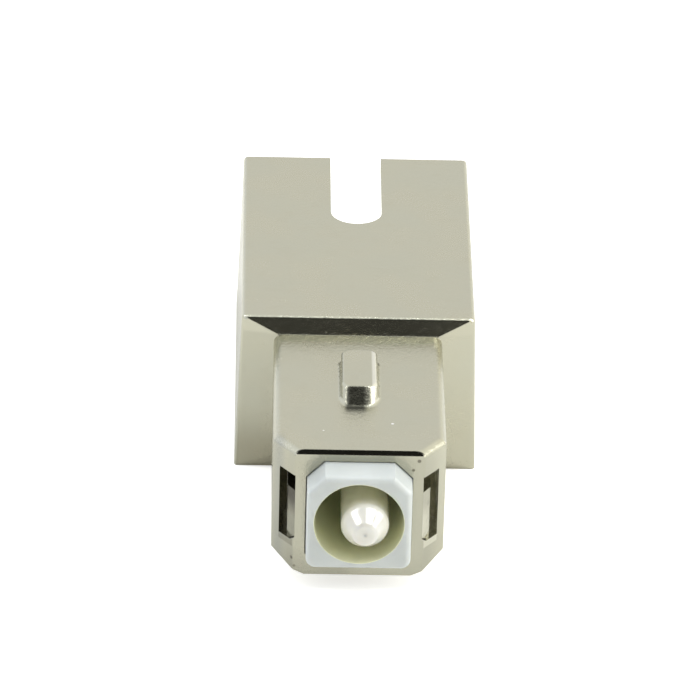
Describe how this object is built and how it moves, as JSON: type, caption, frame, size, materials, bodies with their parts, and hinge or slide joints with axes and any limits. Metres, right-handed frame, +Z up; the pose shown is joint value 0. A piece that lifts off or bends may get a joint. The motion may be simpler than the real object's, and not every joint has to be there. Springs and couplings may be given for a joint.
{
  "type": "fibre optic attenuator",
  "caption": "Plug-in fixed fibre attenuator: die-cast square-section housing with a push-pull plug and ferrule in front and the matching keyed socket behind.",
  "frame": {"origin": "middle of the flat underside of the wide socket body", "axes": "+X to the right as seen from the plug, +Y along the optical axis from the plug to the socket, +Z up to the key and the keyway"},
  "size_m": [0.013, 0.0344, 0.0092],
  "materials": {
    "casting": "satin nickel plating over a fine-grained zinc die casting",
    "white_plastic": "smooth moulded, slightly translucent",
    "zirconia": "ground and polished ceramic",
    "fibre": "polished silica end",
    "flange_metal": "turned",
    "holder_plastic": "smooth moulded"
  },
  "bodies": {
    "root": {"housing": "casting", "plug_insert": "white_plastic", "ferrule": "zirconia", "doped_fibre": "fibre", "ferrule_flange": "flange_metal", "split_sleeve": "zirconia", "latch_holder": "holder_plastic"}
  },
  "joints": []
}
